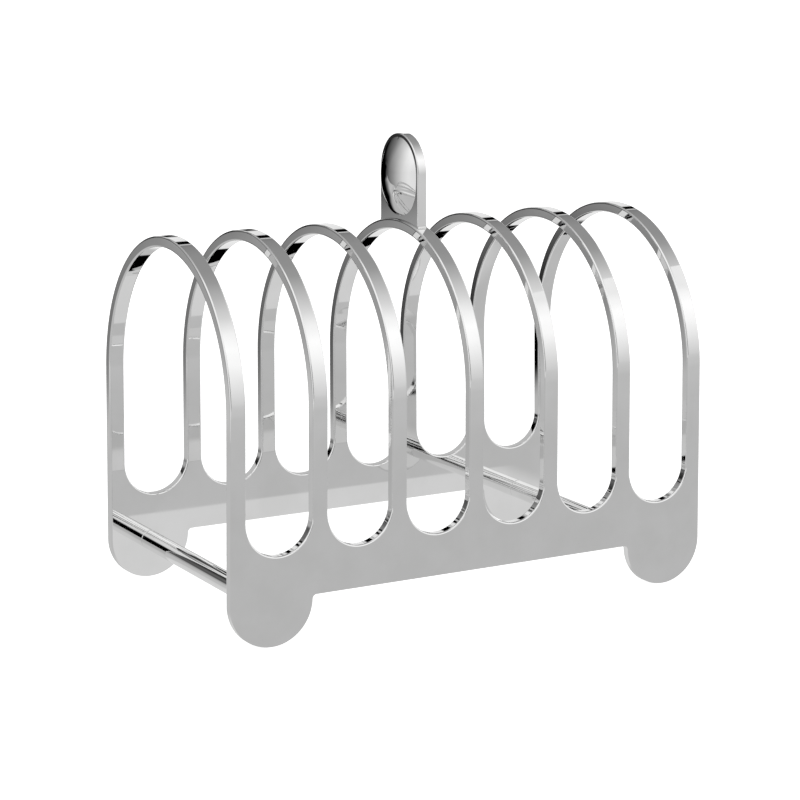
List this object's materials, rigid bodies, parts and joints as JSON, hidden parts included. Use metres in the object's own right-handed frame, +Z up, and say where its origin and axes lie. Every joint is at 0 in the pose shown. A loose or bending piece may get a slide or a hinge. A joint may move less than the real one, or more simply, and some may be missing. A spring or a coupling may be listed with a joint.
{
  "type": "toast rack",
  "caption": "Polished metal rack that stands slices of toast upright between its arches, with a domed lifting handle on the middle arch.",
  "frame": {"origin": "on the table surface, under the middle of the rack", "axes": "+Z up, +X along the row of slices, +Y across them"},
  "size_m": [0.1546, 0.0846, 0.1335],
  "materials": {
    "sheet": "mirror polish",
    "rod": "mirror polish",
    "handle": "mirror polish"
  },
  "bodies": {
    "root": {"rack_body": "sheet", "tie_rod_left": "rod", "tie_rod_right": "rod", "handle": "handle"}
  },
  "joints": []
}
